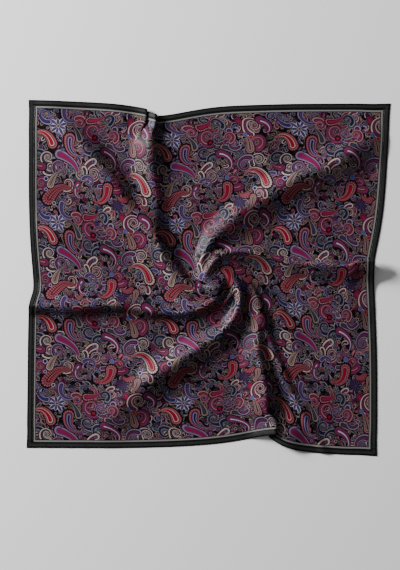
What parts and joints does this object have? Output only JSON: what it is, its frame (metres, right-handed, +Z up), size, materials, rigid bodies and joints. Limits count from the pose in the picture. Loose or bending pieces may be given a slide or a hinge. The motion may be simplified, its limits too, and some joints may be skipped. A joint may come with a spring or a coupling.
{
  "type": "square cotton scarf",
  "caption": "Square printed cotton scarf laid flat, twisted to a swirl in its middle so that pleats run out to its sides, with dark hems.",
  "frame": {"origin": "on the table, under the middle of the laid scarf's outline", "axes": "+Z up from the table, +Y towards the picture's top edge, +X towards the picture's right edge"},
  "size_m": [0.6617, 0.6481, 0.0204],
  "materials": {
    "printed_cotton": "soft sateen with an all-over paisley print",
    "black_hem": "matt black turned hem, stitched"
  },
  "bodies": {
    "root": {"scarf_panel": "printed_cotton", "hem_top": "black_hem", "hem_bottom": "black_hem", "hem_left": "black_hem", "hem_right": "black_hem"}
  },
  "joints": []
}
